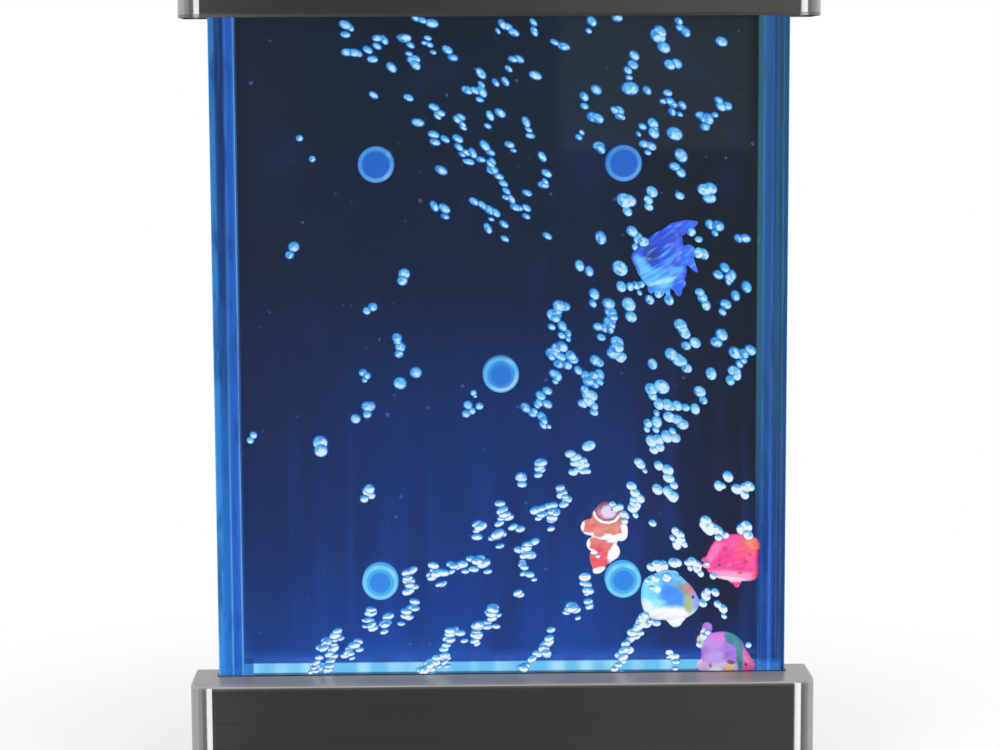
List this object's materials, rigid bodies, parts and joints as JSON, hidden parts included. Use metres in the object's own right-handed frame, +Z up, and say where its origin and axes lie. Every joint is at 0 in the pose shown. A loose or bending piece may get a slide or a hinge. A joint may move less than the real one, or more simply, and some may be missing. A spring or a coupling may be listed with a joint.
{
  "type": "bubble wall panel",
  "caption": "Slim free-standing bubble wall panel: thin lit acrylic water tank with air bubbles and plastic fish, in a brushed steel base under a lift-off steel cap.",
  "frame": {"origin": "on the floor under the middle of the panel", "axes": "+X to the right seen from the front, front faces -Y, +Z up"},
  "size_m": [0.6, 0.076, 0.805],
  "materials": {
    "stainless": "fine brushed, lines along the width",
    "screw_steel": "plain bright screw steel",
    "clear_acrylic": "polished clear acrylic",
    "spacer_acrylic": "clear acrylic with bevelled rim",
    "dark_acrylic": "gloss black-blue acrylic",
    "lit_acrylic": "frosted acrylic lit from below",
    "black_rubber": "matt rubber",
    "aluminium": "mill finish",
    "black_plastic": "fine moulded texture",
    "hose_plastic": "milky soft tube",
    "circuit_board": "solder mask",
    "light_chip": "light chip",
    "copper_wire": "enamelled copper winding",
    "magnet_iron": "laminated iron and ferrite",
    "wire_sleeve": "wire sleeve",
    "fish_blue_plastic": "soft blue plastic",
    "fish_orange_plastic": "orange plastic with white bands",
    "fish_pale_plastic": "pale blue plastic with white belly",
    "fish_red_plastic": "pink-red plastic with orange spots",
    "fish_violet_plastic": "violet plastic with a green band"
  },
  "bodies": {
    "panel": {"air_jets": "hose_plastic", "air_manifold": "hose_plastic", "back_sheet": "dark_acrylic", "base_floor": "stainless", "base_shell": "stainless", "board_standoffs": "black_plastic", "bracket_left": "aluminium", "bracket_right": "aluminium", "bracket_screws": "screw_steel", "button_housing": "black_plastic", "check_valve": "black_plastic", "control_board": "circuit_board", "feet": "black_rubber", "floor_bar": "clear_acrylic", "floor_screws": "screw_steel", "front_sheet": "clear_acrylic", "led_board": "circuit_board", "led_chips": "light_chip", "light_strip": "lit_acrylic", "manifold_hose": "hose_plastic", "power_inlet": "black_plastic", "pump_case": "black_plastic", "pump_coil": "copper_wire", "pump_core": "magnet_iron", "pump_diaphragm": "black_rubber", "pump_hose": "hose_plastic", "pump_lid": "black_plastic", "pump_mounts": "black_rubber", "pump_pivot_pin": "screw_steel", "pump_valve_head": "black_plastic", "rear_cover": "stainless", "rear_cover_screws": "screw_steel", "side_bar_left": "clear_acrylic", "side_bar_right": "clear_acrylic", "side_spacer_left": "clear_acrylic", "side_spacer_right": "clear_acrylic", "slot_gasket": "black_rubber", "spacer_bottom_left": "spacer_acrylic", "spacer_bottom_right": "spacer_acrylic", "spacer_centre": "spacer_acrylic", "spacer_top_left": "spacer_acrylic", "spacer_top_right": "spacer_acrylic", "tank_channel": "aluminium", "tank_pads": "black_rubber", "wires": "wire_sleeve"},
    "cap": {"cap_shell": "stainless", "cap_plate": "stainless", "cap_posts": "aluminium", "cap_screws": "screw_steel", "cap_rests": "black_plastic", "cap_pads": "black_rubber"},
    "pump_rocker": {"pump_arm": "black_plastic", "pump_magnet": "magnet_iron"},
    "button": {"power_button": "black_plastic"},
    "blue_fish": {"fish_blue": "fish_blue_plastic"},
    "orange_fish": {"fish_orange": "fish_orange_plastic"},
    "pale_fish": {"fish_pale": "fish_pale_plastic"},
    "red_fish": {"fish_red": "fish_red_plastic"},
    "violet_fish": {"fish_violet": "fish_violet_plastic"}
  },
  "joints": [
    {"name": "cap_lift", "type": "slide", "parent": "panel", "child": "cap", "axis": [0, 0, 1], "range_m": [0, 0.12]},
    {"name": "pump_rock", "type": "hinge", "parent": "panel", "child": "pump_rocker", "pos_m": [-0.0945, 0.008, 0.036], "axis": [0, 1, 0], "range_deg": [-1.5, 1.5], "stiffness_Nm_per_rad": 2, "deforming": ["pump_diaphragm"]},
    {"name": "button_press", "type": "slide", "parent": "panel", "child": "button", "axis": [0, -1, 0], "range_m": [0, 0.0025], "stiffness_N_per_m": 300},
    {"name": "blue_fish_drift", "type": "slide", "parent": "panel", "child": "blue_fish", "axis": [0, 0, 1], "range_m": [-0.12, 0.035]},
    {"name": "orange_fish_drift", "type": "slide", "parent": "panel", "child": "orange_fish", "axis": [0, 0, 1], "range_m": [-0.003, 0.1]},
    {"name": "pale_fish_drift", "type": "slide", "parent": "panel", "child": "pale_fish", "axis": [0, 0, 1], "range_m": [-0.025, 0.12]},
    {"name": "red_fish_drift", "type": "slide", "parent": "panel", "child": "red_fish", "axis": [0, 0, 1], "range_m": [-0.015, 0.15]},
    {"name": "violet_fish_drift", "type": "slide", "parent": "panel", "child": "violet_fish", "axis": [0, 0, 1], "range_m": [0, 0.012]}
  ]
}
